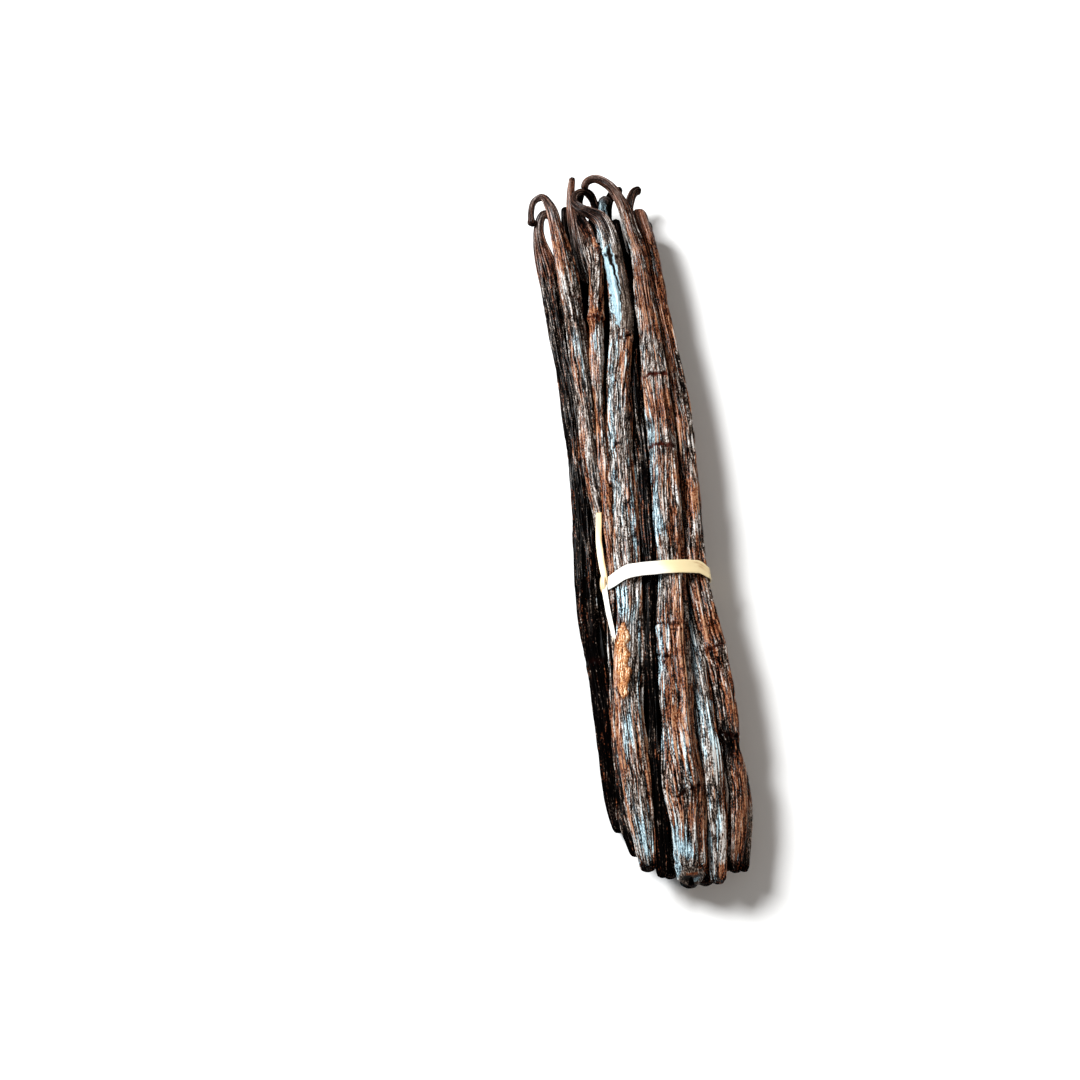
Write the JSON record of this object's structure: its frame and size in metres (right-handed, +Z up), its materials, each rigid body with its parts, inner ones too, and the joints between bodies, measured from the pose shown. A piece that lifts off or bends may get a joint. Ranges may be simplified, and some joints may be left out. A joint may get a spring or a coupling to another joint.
{
  "type": "bundle of vanilla pods",
  "caption": "Long bundle of dark wrinkled vanilla pods with hooked stem ends, held by a pale raffia tie with a knot and loose tails.",
  "frame": {"origin": "on the floor under the middle of the bundle's box", "axes": "+Y along the bundle towards the hooked stem ends, +X across it, +Z up"},
  "size_m": [0.0329, 0.1751, 0.0157],
  "materials": {
    "pods": "dark brown to black, wrinkled along its length, oily sheen",
    "raffia": "pale cream plant fibre, matt with a fine lengthwise grain"
  },
  "bodies": {
    "root": {"pods": "pods", "tie": "raffia"}
  },
  "joints": []
}
